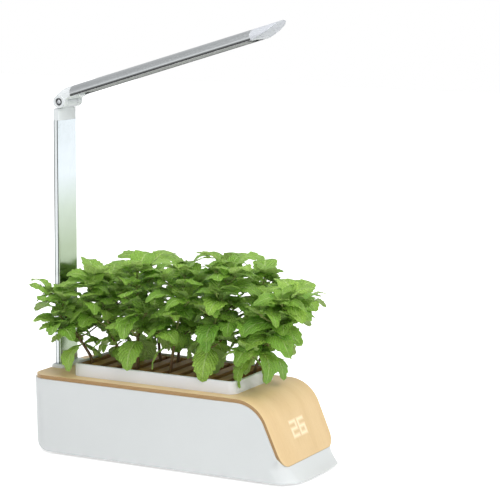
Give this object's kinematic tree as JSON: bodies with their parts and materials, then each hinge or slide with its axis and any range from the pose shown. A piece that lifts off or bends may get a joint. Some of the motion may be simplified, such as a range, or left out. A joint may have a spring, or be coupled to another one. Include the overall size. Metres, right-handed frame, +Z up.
{
  "type": "indoor herb planter",
  "caption": "Indoor herb planter with a bent wooden cover, a lift-out planting tray of mint, a water tank and a tilting grow lamp on a sliding mast.",
  "frame": {"origin": "on the surface it stands on, under the middle of the housing and the canopy", "axes": "+X towards the sloping nose, +Y to the left seen from behind the mast, +Z up"},
  "size_m": [0.368, 0.158, 0.5167],
  "materials": {
    "housing": "satin white",
    "bamboo": "satin lacquer",
    "tray_white": "matte white",
    "slat_wood": "raw",
    "soil": "fibrous",
    "mint": "leaf",
    "tank_clear": "translucent",
    "pump_black": "matte",
    "inner_plastic": "matte",
    "float_foam": "matte",
    "screw_steel": "plated",
    "foot_rubber": "matte",
    "aluminium": "anodised satin",
    "mirror_strip": "polished",
    "lamp_plastic": "satin light grey",
    "hinge_steel": "dark plated",
    "washer": "matte",
    "cable": "matte",
    "board": "solder mask",
    "led": "phosphor",
    "diffuser": "frosted",
    "display_black": "gloss",
    "inlet_black": "matte"
  },
  "bodies": {
    "base": {"outer_shell": "housing", "wood_cover": "bamboo", "base_plate": "inner_plastic", "base_screws": "screw_steel", "rubber_feet": "foot_rubber", "water_tank": "tank_clear", "water_pump": "pump_black", "float_stem": "inner_plastic", "mast_collar": "lamp_plastic", "mast_socket": "inner_plastic", "socket_screws": "screw_steel", "dc_inlet": "inlet_black", "display_module": "display_black", "display_board": "board", "control_board": "board", "board_screws": "screw_steel"},
    "tray": {"planting_tray": "tray_white", "slat_grid": "slat_wood", "growing_medium": "soil", "mint_plant_01": "mint", "mint_plant_02": "mint", "mint_plant_03": "mint", "mint_plant_04": "mint", "mint_plant_05": "mint", "mint_plant_06": "mint", "mint_plant_07": "mint", "mint_plant_08": "mint", "mint_plant_09": "mint", "mint_plant_10": "mint", "mint_plant_11": "mint", "mint_plant_12": "mint"},
    "mast": {"mast_extrusion": "aluminium", "mast_face_plate": "mirror_strip", "lamp_cable": "cable", "mast_cap": "lamp_plastic"},
    "arm": {"arm_knuckle": "lamp_plastic", "hinge_bolt": "hinge_steel", "hinge_nut": "hinge_steel", "friction_washers": "washer", "arm_extrusion": "aluminium", "arm_end_cap": "lamp_plastic", "led_board": "board", "leds": "led", "diffuser": "diffuser", "arm_screws": "screw_steel"},
    "float": {"level_float": "float_foam"}
  },
  "joints": [
    {"name": "tray_lift", "type": "slide", "parent": "base", "child": "tray", "axis": [0, 0, 1], "range_m": [0, 0.08]},
    {"name": "mast_slide", "type": "slide", "parent": "base", "child": "mast", "axis": [0, 0, 1], "range_m": [-0.034, 0]},
    {"name": "lamp_tilt", "type": "hinge", "parent": "mast", "child": "arm", "pos_m": [-0.1657, 0, 0.4143], "axis": [0, 1, 0], "range_deg": [-70, 20]},
    {"name": "float_slide", "type": "slide", "parent": "base", "child": "float", "axis": [0, 0, 1], "range_m": [-0.02, 0.025]}
  ]
}
